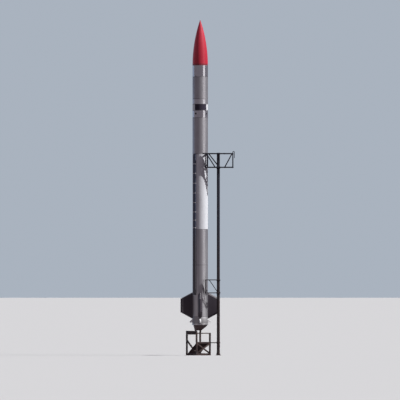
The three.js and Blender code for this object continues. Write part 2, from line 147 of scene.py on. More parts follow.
# Swing arms: trusses of square bar in upright frames beside the mast. The sizes are of the long
# bars, the inner posts and the diagonals. A frame is its side of the mast (-1 is the front), its
# inner post and the end of its long bars, where the upper arm has posts too. A diagonal is its
# side, X at the top and X at the foot.
ARM_HALF = 0.076
SLEEVE = {"inner": 0.0525, "outer": 0.064, "tall": 0.048, "plate": 0.048, "start": 0.056}
UPPER = {
    "top": 6.672,
    "end_posts": True,
    "bar": 0.04,
    "post": 0.036,
    "diagonal": 0.036,
    "frames": [(-1, 0.174, 1.076), (1, 0.246, 1.076)],
    "diagonals": [(-1, 0.202, 0.494), (1, 0.28, 0.63), (-1, 1.05, 0.806), (1, 1.05, 0.806)],
}
LOWER = {
    "top": span("lower_arm")[1],
    "end_posts": False,
    "bar": 0.028,
    "post": 0.04,
    "diagonal": 0.022,
    "frames": [(-1, 0.187, 0.598)],
    "diagonals": [(-1, 0.298, 0.59)],
}
CROSS_BARS = (0.8, 1.076)
PROUD = 0.002  # how much wider a long bar is than what is welded to it, where they end together
TINE_END = 0.078
GOOSENECK = {"bar": 0.022, "rise": 0.07, "reach": 0.05, "drop": 0.15}


# Shapes: pairs of an array of points and a list of arrays of faces.

RIGHT, BACK, UP = np.eye(3)


def grid(points, wrap_u=False, wrap_v=False):
    """A surface from a grid of points, one face for each cell, wrapped round in u or v if asked."""
    rows, columns = points.shape[:2]
    i = np.arange(rows if wrap_u else rows - 1)
    j = np.arange(columns if wrap_v else columns - 1)
    i, j = (a.ravel() for a in np.meshgrid(i, j, indexing="ij"))
    i2, j2 = (i + 1) % rows, (j + 1) % columns
    faces = np.stack([i * columns + j, i2 * columns + j, i2 * columns + j2, i * columns + j2], 1)
    return points.reshape(-1, 3), [faces]


def joined(*shapes):
    """Several shapes as one, with the second one's faces counted on from the first one's points."""
    points, faces, first = [], [], 0
    for some_points, some_faces in shapes:
        points.append(some_points)
        faces += [f + first for f in some_faces]
        first += len(some_points)
    return np.concatenate(points), faces


def outward(shape):
    """A closed shape with its faces turned outwards: the sum of its cones' volumes is positive."""
    points, faces = shape
    volume = 0.0
    for f in faces:
        for k in range(1, f.shape[1] - 1):
            a, b, c = points[f[:, 0]], points[f[:, k]], points[f[:, k + 1]]
            volume += np.einsum("ij,ij->", a, np.cross(b, c))
    return shape if volume > 0 else (points, [f[:, ::-1] for f in faces])


def turned_about(points, angle, centre=(0.0, 0.0)):
    """Points turned about a vertical axis through centre."""
    c, s = math.cos(angle), math.sin(angle)
    x, y = points[..., 0] - centre[0], points[..., 1] - centre[1]
    return np.stack([c * x - s * y + centre[0], s * x + c * y + centre[1], points[..., 2]], -1)


def loft(rings):
    """A closed shape: rings of points with skin from each to the next, and a face over each end."""
    points, faces = grid(np.stack(rings), wrap_v=True)
    ring = np.arange(len(rings[0]))[None]
    return outward((points, faces + [ring[:, ::-1], ring + len(points) - len(rings[0])]))


def moved(shape, angle=0.0, by=(0.0, 0.0, 0.0)):
    """A shape turned about the Z axis and then shifted."""
    points, faces = shape
    return turned_about(points, angle) + np.array(by), faces


def oblong(x0, y0, x1, y1):
    """The corners of an oblong."""
    return [(x0, y0), (x1, y0), (x1, y1), (x0, y1)]


def rounded(outline, radius, steps=3, closed=True):
    """An outline of pairs with each corner replaced by a quadratic arc: it leaves one side a
    cut before the corner and joins the next side the same cut after it."""
    p = np.asarray(outline, float)
    before, after = np.roll(p, 1, 0), np.roll(p, -1, 0)
    to_before = np.linalg.norm(before - p, axis=1)
    to_after = np.linalg.norm(after - p, axis=1)
    cut = np.minimum(radius, 0.45 * np.minimum(to_before, to_after))
    a = p + (before - p) * (cut / np.maximum(to_before, 1e-9))[:, None]
    b = p + (after - p) * (cut / np.maximum(to_after, 1e-9))[:, None]
    t = np.linspace(0, 1, steps + 1)[None, :, None]
    arcs = (1 - t) ** 2 * a[:, None] + 2 * t * (1 - t) * p[:, None] + t**2 * b[:, None]
    if closed:
        return arcs.reshape(-1, 2)
    return np.concatenate([p[:1], arcs[1:-1].reshape(-1, 2), p[-1:]])


def revolve(profile, centre=(0.0, 0.0), turns=TURNS, relief=None, angles=None):
    """A profile of radius and height turned about a vertical axis. A profile that starts or ends
    on the axis is closed there by a fan, and any other profile closes on itself. relief gives
    what to add to the radius for arrays of angle and height."""
    profile = np.asarray(profile, float)
    if angles is None:
        angles = np.linspace(0, 2 * math.pi, turns, endpoint=False)
    on_axis = profile[:, 0] < 1e-9
    body = profile[~on_axis]
    a, r = np.meshgrid(angles, body[:, 0], indexing="ij")
    z = np.broadcast_to(body[:, 1], a.shape)
    if relief is not None:
        r = r + relief(a, z) * (r > 0.97 * r.max())
    points = np.stack([centre[0] + r * np.cos(a), centre[1] + r * np.sin(a), z], -1)
    shape = grid(points, wrap_u=True, wrap_v=not on_axis.any())
    rows, columns = len(angles), len(body)
    i = np.arange(rows)
    for end, column in ((0, 0), (-1, columns - 1)):
        if on_axis[end]:
            pole = np.array([[centre[0], centre[1], profile[end, 1]]])
            ring = i * columns + column
            next_ring = np.roll(ring, -1)
            fan = np.stack([np.full(rows, len(shape[0])), ring, next_ring], 1)
            if end == 0:
                fan = fan[:, ::-1]
            shape = np.concatenate([shape[0], pole]), shape[1] + [fan]
    return outward(shape)


def swept(section, path, scale=None, closed=False, up=UP):
    """A section of pairs carried along a path of points: each point of the path has a frame of
    two directions across the path, and the section is laid out in it. scale is how many times its
    size the section has at each point. Ends are closed, unless the path closes on itself."""
    section, path = np.asarray(section, float), np.asarray(path, float)
    if closed:
        along = np.roll(path, -1, 0) - np.roll(path, 1, 0)
    else:
        along = np.gradient(path, axis=0)
    along /= np.linalg.norm(along, axis=1)[:, None]
    up = np.broadcast_to(np.asarray(up, float), along.shape)
    upright = np.abs(np.einsum("ij,ij->i", along, up)) > 0.999
    up = np.where(upright[:, None], BACK, up)
    side = np.cross(up, along)
    side /= np.linalg.norm(side, axis=1)[:, None]
    over = np.cross(along, side)
    scale = np.ones(len(path)) if scale is None else np.asarray(scale, float)
    across = section[None] * scale[:, None, None]
    points = path[:, None] + across[..., :1] * side[:, None] + across[..., 1:] * over[:, None]
    if closed:
        return outward(grid(points, wrap_u=True, wrap_v=True))
    return loft(points)


def square(size):
    """The outline of a square tube with rounded corners."""
    half = size / 2
    return rounded(oblong(-half, -half, half, half), 0.004)


def circle(radius, sides=16):
    """A circle of points."""
    a = np.linspace(0, 2 * math.pi, sides, endpoint=False)
    return np.stack([radius * np.cos(a), radius * np.sin(a)], 1)


def bar(start, end, size, up=UP):
    """A square tube from start to end, with its end edges broken."""
    start, end = np.asarray(start, float), np.asarray(end, float)
    length = np.linalg.norm(end - start)
    t = np.array([0.0, 0.0015, length - 0.0015, length])[:, None] / length
    return swept(square(size), start + (end - start) * t, [0.96, 1, 1, 0.96], up=up)


def slab(outline, low, high, bevel=0.002):
    """A flat plate with its edges broken: rings of the outline at four heights, those at the top
    and at the bottom drawn in towards the middle of the outline by the bevel."""
    outline = np.asarray(outline, float)
    middle = outline.mean(0)
    reach = np.linalg.norm(outline - middle, axis=1)[:, None]
    inner = middle + (outline - middle) * (1 - bevel / reach)
    rings = [(inner, low), (outline, low + bevel), (outline, high - bevel), (inner, high)]
    return loft([np.column_stack([o, np.full(len(o), z)]) for o, z in rings])


def block(low, high, bevel=0.002):
    """A box with its upright edges and its rims broken."""
    (x0, y0, z0), (x1, y1, z1) = low, high
    return slab(rounded(oblong(x0, y0, x1, y1), bevel, steps=2), z0, z1, bevel)


def bead(path, radius=0.0035, step=0.004):
    """A weld bead along a closed path: the path is measured off in even steps, and a thin round
    rope is carried along it whose radius goes up and down with the length."""
    path = np.concatenate([path, path[:1]])
    run = np.concatenate([[0], np.cumsum(np.linalg.norm(np.diff(path, axis=0), axis=1))])
    length = np.linspace(0, run[-1], int(run[-1] / step) + 4)[:-1]
    even = np.stack([np.interp(length, run, path[:, k]) for k in range(3)], 1)
    swell = 1 + 0.16 * np.sin(2 * math.pi * length / (2.5 * step))
    return swept(circle(radius, 6), even, swell, closed=True)


def weld(centre, half_a, half_b, a=RIGHT, b=BACK, radius=0.0035):
    """A weld bead round an oblong in the plane of two directions: centre + u a + v b, with u and
    v going round the oblong."""
    u, v = rounded(oblong(-half_a, -half_b, half_a, half_b), 0.004, 3).T
    return bead(np.asarray(centre) + u[:, None] * a + v[:, None] * b, radius)


def hoop(inner, outer, low, high, centre=(0.0, 0.0), turns=TURNS, edge=0.003, steps=2):
    """A ring: an oblong of radius and height with broken corners, turned about an axis."""
    return revolve(rounded(oblong(inner, low, outer, high), edge, steps), centre, turns)


def bolt(size, head):
    """A hexagon bolt head on a washer, its foot at the origin and its axis along Z. size is the
    width of the washer, and head the height in widths."""
    across, foot, top = 0.42 * size, 0.08 * size, head * size
    sides = [(across, foot), (across, top - 0.05 * size), (across * 0.86, top)]
    washer = revolve(oblong(0, 0, size / 2, foot), turns=12)
    return joined(washer, revolve([(0, foot), *sides, (0, top)], turns=6))


def scattered(shape, places, directions):
    """Copies of a small shape, its Z axis laid along each direction, at each place."""
    points, faces = shape
    places, directions = np.asarray(places, float), np.asarray(directions, float)
    z = directions / np.linalg.norm(directions, axis=1)[:, None]
    other = np.where(np.abs(z[:, 2:]) > 0.9, RIGHT, UP)
    x = np.cross(other, z)
    x /= np.linalg.norm(x, axis=1)[:, None]
    y = np.cross(z, x)
    copies = (
        places[:, None]
        + points[None, :, :1] * x[:, None]
        + points[None, :, 1:2] * y[:, None]
        + points[None, :, 2:] * z[:, None]
    )
    first = np.arange(len(places))[:, None, None] * len(points)
    all_faces = [(f[None] + first).reshape(-1, f.shape[1]) for f in faces]
    return copies.reshape(-1, 3), all_faces


def ring_of(count, radius, height, centre=(0.0, 0.0), first=0.0):
    """Places round a circle, with the directions that point away from its centre."""
    a = first + np.linspace(0, 2 * math.pi, count, endpoint=False)
    out = np.stack([np.cos(a), np.sin(a), np.zeros(count)], 1)
    return out * radius + np.array([centre[0], centre[1], height]), out


def bolt_ring(size, head, count, radius, height, centre=(0.0, 0.0), first=0.0, along=None):
    """Bolts round a circle, that point away from its centre, or along a direction."""
    places, out = ring_of(count, radius, height, centre, first)
    if along is not None:
        out = np.broadcast_to(along, out.shape)
    return scattered(bolt(size, head), places, out)


def piece(name, shape, finish, body="launcher", replaces=(), sharp=32):
    """A mesh object made of a shape, smooth except at edges sharper than an angle in degrees."""
    points, faces = shape
    mesh = bpy.data.meshes.new(name)
    corners = np.concatenate([f.ravel() for f in faces])
    sizes = np.concatenate([np.full(len(f), f.shape[1]) for f in faces])
    starts = np.concatenate([[0], np.cumsum(sizes)[:-1]])
    mesh.vertices.add(len(points))
    mesh.vertices.foreach_set("co", points.astype(np.float32).ravel())
    mesh.loops.add(len(corners))
    mesh.loops.foreach_set("vertex_index", corners.astype(np.int32))
    mesh.polygons.add(len(sizes))
    mesh.polygons.foreach_set("loop_start", starts.astype(np.int32))
    mesh.update(calc_edges=True)
    mesh.validate()
    mesh.shade_smooth()
    mesh.set_sharp_from_angle(angle=math.radians(sharp))
    made = bpy.data.objects.new(name, mesh)
    bpy.context.scene.collection.objects.link(made)
    material, slot = FINISHES[finish]
    mesh.materials.append(material)
    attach(made, body)
    if replaces:
        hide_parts(*replaces)
    return made


# Finishes.


class Value:
    """A socket of a node tree. Arithmetic on it adds Math nodes."""

    def __init__(self, nodes, socket):
        self.nodes = nodes
        self.socket = socket

    def math(self, operation, *values):
        return self.nodes.node("ShaderNodeMath", {"operation": operation}, enumerate(values))

    def __add__(self, other):
        return self.math("ADD", self, other)

    __radd__ = __add__

    def __sub__(self, other):
        return self.math("SUBTRACT", self, other)

    def __rsub__(self, other):
        return self.math("SUBTRACT", other, self)

    def __mul__(self, other):
        return self.math("MULTIPLY", self, other)

    __rmul__ = __mul__

    def __abs__(self):
        return self.math("ABSOLUTE", self)

    def ramp(self, low, high):
        """0 at low and below, 1 at high and above, smooth between."""
        settings = {"interpolation_type": "SMOOTHSTEP"}
        sockets = {"Value": self, "From Min": low, "From Max": high}
        return self.nodes.node("ShaderNodeMapRange", settings, sockets)

    def either(self, other):
        return self.math("MAXIMUM", self, other)


class Nodes:
    """The node tree of a material or of the world. node() makes each of its nodes."""

    def __init__(self, owner):
        owner.use_nodes = True
        self.tree = owner.node_tree
        self.tree.nodes.clear()

    def node(self, kind, settings=(), sockets=(), output=0):
        """A node of a kind: its settings are set first, then its sockets, with values or links.
        Gives the output asked for, if the node has outputs."""
        made = self.tree.nodes.new(kind)
        for name, value in dict(settings).items():
            setattr(made, name, value)
        for name, value in dict(sockets).items():
            if isinstance(value, Value):
                self.tree.links.new(value.socket, made.inputs[name])
            else:
                made.inputs[name].default_value = value
        return Value(self, made.outputs[output]) if len(made.outputs) else None


class Finish(Nodes):
    """A material with one Principled shader. Constants are set on the shader's own sockets."""

    def __init__(self, name, **constants):
        self.material = bpy.data.materials.new(name)
        super().__init__(self.material)
        self.constants = {socket.replace("_", " "): value for socket, value in constants.items()}
        self.place = self.node("ShaderNodeTexCoord", output="Object")
        self.x, self.y, self.z = (
            self.node("ShaderNodeSeparateXYZ", sockets={0: self.place}, output=k) for k in range(3)
        )

    def noise(self, size, tall=1, around=1, detail=4, rough=0.55):
        """Noise whose lumps are about size metres, stretched upwards or sideways."""
        scale = [1 / (size * s) for s in (around, around, tall)]
        place = self.node("ShaderNodeMapping", sockets={"Vector": self.place, "Scale": scale})
        sockets = {"Vector": place, "Scale": 1.0, "Detail": detail, "Roughness": rough}
        return self.node("ShaderNodeTexNoise", sockets=sockets)

    def layers(self, colour, *coats):
        """A colour with coats over it, mixed in one after the other. A coat is its share, from 0
        to 1, and its colour."""
        colour = (*colour, 1)
        for share, coat in coats:
            sockets = {0: share, 6: colour, 7: (*coat, 1)}
            colour = self.node("ShaderNodeMix", {"data_type": "RGBA"}, sockets, output=2)
        return colour

    def joints(self, width=0.012):
        """1 in a narrow band at each joint between two sections of the body, and 0 elsewhere."""
        mask = None
        for height in sorted({z for node in SECTIONS for z in span(node)}):
            here = 1 - abs(self.z - height).ramp(0.3 * width, width)
            mask = here if mask is None else mask.either(here)
        return mask

    def surface(self, colour, rough, relief=None, depth=0.0, strength=1.0, metallic=None):
        """The finished material. relief is a height in units of depth, in metres."""
        sockets = {**self.constants, "Base Color": colour, "Roughness": rough}
        if relief is not None:
            bump = {"Height": relief, "Distance": depth, "Strength": strength}
            sockets["Normal"] = self.node("ShaderNodeBump", sockets=bump)
        if metallic is not None:
            sockets["Metallic"] = metallic
        shader = self.node("ShaderNodeBsdfPrincipled", sockets=sockets)
        self.node("ShaderNodeOutputMaterial", sockets={"Surface": shader})
        return self.material


def red_paint():
    """Sun-faded red paint on the nose, darker grime in runs, and a dark band at its foot."""
    f = Finish("nose_red", Metallic=0.0, Coat_Weight=0.15, Coat_Roughness=0.25)
    fade = f.noise(0.5, 2.5).ramp(0.35, 0.7)
    runs = f.noise(0.045, 14, detail=5).ramp(0.55, 0.8)
    speck = f.noise(0.006, detail=2).ramp(0.68, 0.75)
    foot = 1 - abs(f.z - (NOSE_BASE + 0.03)).ramp(0.01, 0.026)
    colour = f.layers(
        (0.62, 0.028, 0.055),
        (fade, (0.72, 0.05, 0.085)),
        (runs * 0.3, (0.34, 0.015, 0.03)),
        (speck * 0.3, (0.4, 0.13, 0.12)),
        (foot * 0.6, (0.06, 0.02, 0.025)),
    )
    rough = 0.34 + runs * 0.2 + f.noise(0.02) * 0.08
    skin = f.noise(0.012, detail=3) * 0.4 + f.noise(0.4, 2) * 3
    return f.surface(colour, rough, skin, 0.0006, 0.5)


def polished_metal(name="polished_metal", dulled=0.0):
    """Polished aluminium, lathe-turned, with hazy patches and dark joints. dulled makes it rougher."""
    f = Finish(name, Metallic=1.0)
    turning = f.noise(0.004, around=300, detail=3)
    haze = f.noise(0.12, 1.6).ramp(0.4, 0.75)
    joint = f.joints()
    colour = f.layers(
        (0.84, 0.83, 0.86),
        (haze, (0.76, 0.74, 0.77)),
        (joint * 0.7, (0.12, 0.11, 0.12)),
    )
    rough = 0.22 + dulled + haze * 0.06 + turning * 0.06 + joint * 0.3
    skin = turning * 0.15 + f.noise(0.4, 1.4, detail=1) * 4
    return f.surface(colour, rough, skin, 0.0005, 0.2)


def satin_metal():
    """Bare aluminium dulled by weather: upright streaks, cloudy stains and dark joints, and a
    duller and darker skirt."""
    f = Finish("satin_metal", Metallic=0.92)
    streaks = f.noise(0.03, 22, detail=5).ramp(0.35, 0.75)
    cloud = f.noise(0.3, 2).ramp(0.35, 0.7)
    grain = f.noise(0.003, around=60, detail=2)
    low = 1 - f.z.ramp(1.2, 4.4)
    joint = f.joints()
    skirt = 1 - f.z.ramp(1.2, 1.3)
    colour = f.layers(
        (0.64, 0.63, 0.65),
        (cloud, (0.56, 0.545, 0.565)),
        (streaks * 0.3, (0.42, 0.40, 0.42)),
        (low * 0.25, (0.5, 0.49, 0.48)),
        (skirt * 0.5, (0.4, 0.39, 0.39)),
        (joint * 0.6, (0.1, 0.09, 0.1)),
    )
    rough = 0.36 + streaks * 0.1 + cloud * 0.08 + grain * 0.06
    rough = rough + low * 0.06 + skirt * 0.15 + joint * 0.2
    skin = grain * 0.3 + f.noise(0.45, 1.6, detail=2) * 5
    return f.surface(colour, rough, skin, 0.0006, 0.4)


def frosted_white():
    """Matt white on the cold tank: a rough rime, thin grey runs and duller rings at the joints."""
    f = Finish("frosted_white", Metallic=0.0, Specular_IOR_Level=0.35)
    rime = f.noise(0.02, 1.5, detail=6, rough=0.65)
    patch = f.noise(0.22, 2.2).ramp(0.35, 0.72)
    runs = f.noise(0.03, 20, detail=4).ramp(0.58, 0.8)
    joint = f.joints(0.02)
    colour = f.layers(
        (0.86, 0.87, 0.9),
        (patch, (0.76, 0.76, 0.79)),
        (runs * 0.35, (0.5, 0.49, 0.52)),
        (joint * 0.45, (0.3, 0.29, 0.3)),
    )
    rough = 0.6 + rime * 0.25
    skin = rime * 1.2 + f.noise(0.09, detail=3) * 2
    return f.surface(colour, rough, skin, 0.0016, 0.6)


def roll_pattern():
    """Black and white quarters round the body, worn a little at their edges."""
    f = Finish("roll_pattern", Metallic=0.0, Specular_IOR_Level=0.1)
    ragged = (f.noise(0.01) - 0.5) * 0.02
    across, along = f.x + f.y * ROLL_TURN, f.y - f.x * ROLL_TURN
    white = (abs(across) - abs(along) * ROLL_BLACK + ragged).ramp(-0.002, 0.002)
    dirt = f.noise(0.04, 5, detail=5).ramp(0.5, 0.8)
    joint = f.joints()
    colour = f.layers(
        (0.06, 0.05, 0.075),
        (white, (0.78, 0.79, 0.82)),
        (dirt * 0.2, (0.2, 0.18, 0.18)),
        (joint * 0.6, (0.05, 0.05, 0.05)),
    )
    rough = 0.68 + dirt * 0.15
    skin = f.noise(0.01, detail=3) * 0.5 + f.noise(0.3, detail=2) * 2
    return f.surface(colour, rough, skin, 0.0005, 0.4)


def fin_paint():
    """Satin black on the fins, with dust low down, bare bright leading edges and worn arrises."""
    f = Finish("fin_black")
    reach = abs(f.x).either(abs(f.y))
    edge = f.z + reach * FIN_SLOPE - (FIN["root_top"] + FIN_SLOPE * BODY_R)
    ragged = (f.noise(0.015, detail=3) - 0.5) * 0.012
    leading = (edge + ragged).ramp(-0.02, -0.014)
    arris = 1 - abs(reach - (FIN["tip"] - FIN["tip_bevel"]) + ragged * 0.3).ramp(0.002, 0.009)
    bare = leading.either(arris * (0.25 + f.noise(0.06, 3).ramp(0.35, 0.6) * 0.5))
    dust = f.noise(0.1, 2, detail=5).ramp(0.4, 0.8) * (1 - f.z.ramp(1.2, 2.0))
    rub = f.noise(0.02, 6, detail=4).ramp(0.6, 0.8)
    colour = f.layers(
        (0.062, 0.051, 0.064),
        (rub * 0.3, (0.1, 0.09, 0.1)),
        (dust * 0.12, (0.16, 0.12, 0.1)),
        (bare, (0.6, 0.59, 0.6)),
    )
    rough = 0.46 + rub * 0.12 - bare * 0.16
    skin = f.noise(0.008, detail=3) * 0.5 - bare * 0.6
    return f.surface(colour, rough, skin, 0.0005, 0.5, metallic=bare)


def raceway_paint():
    """Dull black on the raceway, with grey rub marks, going bluer from 3.4 m up to 4.6 m, on the white
    tank: a painted reflection of the sky.
    """
    f = Finish("raceway_black", Metallic=0.0)
    rub = f.noise(0.02, 8, detail=5).ramp(0.5, 0.8)
    chips = f.noise(0.008, detail=3).ramp(0.66, 0.7)
    colour = f.layers(
        (0.095, 0.09, 0.1),
        # painted reflection: bluer higher up, standing in for the sky seen in the raceway
        (f.z.ramp(3.4, 4.6), (0.08, 0.09, 0.135)),
        (rub * 0.4, (0.13, 0.135, 0.165)),
        (chips * 0.5, (0.3, 0.3, 0.3)),
    )
    rough = 0.5 + rub * 0.15
    return f.surface(colour, rough, f.noise(0.01), 0.0005, 0.5)


def white_paint():
    """White enamel on the hold-down lugs, stained in runs."""
    f = Finish("lug_white", Metallic=0.0, Coat_Weight=0.2, Coat_Roughness=0.3)
    stain = f.noise(0.03, 3, detail=5).ramp(0.5, 0.8)
    speck = f.noise(0.005, detail=2).ramp(0.66, 0.7)
    colour = f.layers(
        (0.92, 0.91, 0.91),
        (stain * 0.2, (0.5, 0.46, 0.42)),
        (speck * 0.4, (0.25, 0.18, 0.14)),
    )
    return f.surface(colour, 0.4 + stain * 0.2, f.noise(0.01), 0.0004, 0.5)


def bright_metal():
    """Bare bright metal: straps, screws and the base ring."""
    f = Finish("bright_metal", Metallic=0.85)
    dull = f.noise(0.03, 2, detail=5).ramp(0.4, 0.75)
    grain = f.noise(0.002, around=60, detail=2)
    colour = f.layers((0.7, 0.69, 0.7), (dull, (0.5, 0.47, 0.46)))
    rough = 0.32 + dull * 0.16 + grain * 0.06
    return f.surface(colour, rough, grain, 0.0003, 0.3)


def heat_metal():
    """Heat-stained alloy: straw to blue down the bell, soot towards its mouth."""
    f = Finish("heat_metal", Metallic=0.95)
    ragged = (f.noise(0.02, detail=4) - 0.5) * 0.04
    blue = (f.z + ragged).ramp(1.06, 1.0) * (f.z + ragged).ramp(0.93, 0.98)
    soot = 1 - (f.z + ragged * 1.5).ramp(0.9, 0.96)
    grain = f.noise(0.002, around=60, detail=2)
    colour = f.layers(
        (0.34, 0.27, 0.2),
        (blue, (0.12, 0.13, 0.2)),
        (soot * 0.8, (0.03, 0.028, 0.027)),
    )
    rough = 0.36 + soot * 0.3 + grain * 0.08
    return f.surface(colour, rough, grain, 0.0003, 0.4)


def old_steel(name, dark, brown, pale, higher, rise, rust_share=0.5):
    """Worn dark paint on steel, in another colour higher up: rust through it in patches and runs,
    pale scuffs, and more rust near the floor. rise is where the colour changes."""
    f = Finish(name, Metallic=0.0, Specular_IOR_Level=0.4)
    patch = f.noise(0.11, detail=7, rough=0.62)
    runs = f.noise(0.018, 12, detail=5).ramp(0.55, 0.78)
    low = 1 - f.z.ramp(0.05, 1.2)
    rust = (patch + low * 0.1 + runs * 0.06).ramp(0.5, 0.64) * rust_share
    scuff = f.noise(0.01, 3, detail=4).ramp(0.66, 0.74)
    colour = f.layers(dark, (f.z.ramp(*rise), higher), (rust, brown), (scuff * 0.35, pale))
    rough = 0.5 + rust * 0.3 - scuff * 0.08
    skin = rust * 1.2 + f.noise(0.004, detail=3) * 0.5
    return f.surface(colour, rough, skin, 0.0006, 0.7)


def stand_paint():
    """Dark brown on the stand, and paler on the stool above it: painted light, standing in for the
    light on the stool's shaded underside.
    """
    return old_steel(
        "stand_paint",
        (0.046, 0.031, 0.031),
        (0.085, 0.045, 0.034),
        (0.12, 0.1, 0.095),
        # painted light: the stool's paler colour makes up for light its underside gets too little of
        higher=(0.22, 0.165, 0.16),
        rise=(0.81, 0.83),
    )


def mast_paint():
    """Dark brown at the mast's foot, going over to blue-black higher up."""
    return old_steel(
        "mast_paint",
        (0.036, 0.023, 0.023),
        (0.07, 0.04, 0.033),
        (0.11, 0.1, 0.1),
        higher=(0.026, 0.028, 0.045),
        rise=(1.0, 5.0),
        rust_share=0.35,
    )


def scorched_plate():
    """Scorched plate: soot in a fan over brown scale, with pale burnt spots."""
    f = Finish("scorched_plate", Metallic=0.2)
    scale = f.noise(0.06, detail=7, rough=0.65)
    soot = f.noise(0.2, detail=4).ramp(0.35, 0.6)
    ash = f.noise(0.03, detail=5).ramp(0.64, 0.74)
    colour = f.layers(
        (0.085, 0.06, 0.058),
        (scale.ramp(0.4, 0.65), (0.14, 0.085, 0.068)),
        (soot * 0.6, (0.055, 0.042, 0.042)),
        (ash * 0.3, (0.2, 0.17, 0.15)),
    )
    rough = 0.72 + scale * 0.15
    return f.surface(colour, rough, scale, 0.0015, 0.8)


def port_shade_paint():
    """Painted shade for the inside of a port: a near-black colour standing in for the dark inside a
    deep hole.
    """
    f = Finish("port_painted_shade", Metallic=0.0)
    dust = f.noise(0.006, detail=4)
    # painted shade: near black, as the inside of a deep hole looks
    colour = f.layers((0.01, 0.01, 0.012), (dust, (0.03, 0.03, 0.03)))
    return f.surface(colour, 0.6 + dust * 0.2)


# Each finish, with the record's slot that it belongs to.
FINISHES = {
    "red": (red_paint(), "nose_red"),
    "polished": (polished_metal(), "polished_metal"),
    "dulled": (polished_metal("dulled_metal", 0.13), "polished_metal"),
    "satin": (satin_metal(), "satin_metal"),
    "roll": (roll_pattern(), "roll_pattern"),
    "frost": (frosted_white(), "frosted_white"),
    "fin": (fin_paint(), "black_paint"),
    "raceway": (raceway_paint(), "black_paint"),
    "white": (white_paint(), "bright_metal"),
    "bright": (bright_metal(), "bright_metal"),
    "heat": (heat_metal(), "heat_metal"),
    "stand": (stand_paint(), "stand_paint"),
    "mast": (mast_paint(), "mast_paint"),
    "plate": (scorched_plate(), "scorched_plate"),
    # the ports' painted shade
    "port": (port_shade_paint(), "black_paint"),
}


# The rocket.


def nose_cone():
    """An ogive: its side is one arc that leaves the body along it and ends in a rounded point."""
    length = NOSE_TIP - NOSE_BASE
    arc = (BODY_R**2 + length**2) / (2 * BODY_R)
    rise = length * (1 - (1 - np.linspace(0, 0.994, 90)) ** 1.2)
    radius = np.sqrt(arc**2 - rise**2) + BODY_R - arc
    side = np.column_stack([radius, NOSE_BASE + rise])
    foot = [(0, NOSE_BASE), (BODY_R - GROOVE, NOSE_BASE), (BODY_R - 0.0002, NOSE_BASE + GROOVE)]
    tip = [(0.45 * side[-1, 0], NOSE_TIP - 0.003), (0, NOSE_TIP)]
    profile = np.concatenate([foot, side[1:], tip])
    piece("nose_skin", revolve(profile), "red", replaces=["nose_cone"])


def port_relief(height, radius, depth):
    """What a row of ports takes from the radius: a round well with steep walls inside a low rim,
    from the distance to the nearest port measured over the skin."""
    wall, rim_at, rim_wide, rim_high = 0.0015, radius + 0.004, 0.003, 0.0012

    def relief(angle, z):
        off = (angle[..., None] - PORT_TURNS + math.pi) % (2 * math.pi) - math.pi
        away = np.sqrt((BODY_R * off) ** 2 + (z[..., None] - height) ** 2).min(-1)
        well = np.clip((radius - away) / wall + 0.5, 0, 1)
        rim = np.exp(-(((away - rim_at) / rim_wide) ** 2))
        return rim_high * rim * (1 - well) - depth * well

    return relief


def section_rows(low, high, port):
    """Heights from bottom to top: a coarse row every 0.15 m, and fine rows round a port."""
    rows = np.append(np.arange(low + GROOVE, high - GROOVE, 0.15), high - GROOVE)
    if port:
        height, half = port[0], port[1] + PORT_EDGE
        rows = rows[np.abs(rows - height) > half + 0.002]
        rows = np.append(rows, height + np.linspace(-half, half, PORT_STEPS))
    return np.unique(rows.round(6))


def section_angles(port):
    """Angles round the body, with many more of them across each port."""
    angles = np.linspace(0, 2 * math.pi, TURNS, endpoint=False)
    if not port:
        return angles
    half = (port[1] + PORT_EDGE) / BODY_R
    off = (angles[:, None] - PORT_TURNS + math.pi) % (2 * math.pi) - math.pi
    angles = angles[np.abs(off).min(1) > half + 0.004]
    extra = (PORT_TURNS[:, None] + np.linspace(-half, half, PORT_STEPS)).ravel() % (2 * math.pi)
    return np.sort(np.concatenate([angles, extra]))


def body_sections():
    """Each section as a turned profile, drawn in by a groove at both ends, with its ports."""
    for node, finish in SECTIONS.items():
        low, high = span(node)
        port = PORTS.get(node)
        rows = section_rows(low, high, port)
        side = np.column_stack([np.full(len(rows), BODY_R), rows])
        low_end = [(0, low), (BODY_R - GROOVE, low)]
        high_end = [(BODY_R - GROOVE, high), (0, high)]
        profile = np.concatenate([low_end, side, high_end])
        relief = port_relief(*port) if port else None
        shape = revolve(profile, relief=relief, angles=section_angles(port))
        made = piece(node + "_skin", shape, finish, replaces=[node])
        if port:
            # painted shade in the ports
            paint_shade_in_ports(made, *port[:2])


def paint_shade_in_ports(made, height, radius):
    """Gives the floor and the wall of each port the painted shade: the faces that lie well under the
    skin, at the height of the ports."""
    made.data.materials.append(FINISHES["port"][0])
    middles = np.zeros(len(made.data.polygons) * 3)
    made.data.polygons.foreach_get("center", middles)
    x, y, z = middles.reshape(-1, 3).T
    margin = 0.002
    inside = (np.hypot(x, y) < BODY_R - margin) & (np.abs(z - height) < radius + margin)
    made.data.polygons.foreach_set("material_index", inside.astype(np.int32))


def section_screws():
    """Flush screws in two rows, one on each side of the joint at the top of each listed section."""
    screw = revolve([(0, 0), (0.006, 0), (0.0055, 0.0012), (0.002, 0.0014), (0, 0.0009)], turns=10)
    places, directions = [], []
    for node in ("nose_shoulder", "payload_bay", "recovery_ring", "vent_ring", "forward_tube"):
        top = span(node)[1]
        for height in (top - 0.022, top + 0.022):
            at, out = ring_of(24, BODY_R - 0.0006, height, first=math.radians(7.5))
            places.append(at)
            directions.append(out)
    shape = scattered(screw, np.concatenate(places), np.concatenate(directions))
    piece("section_screws", shape, "bright")


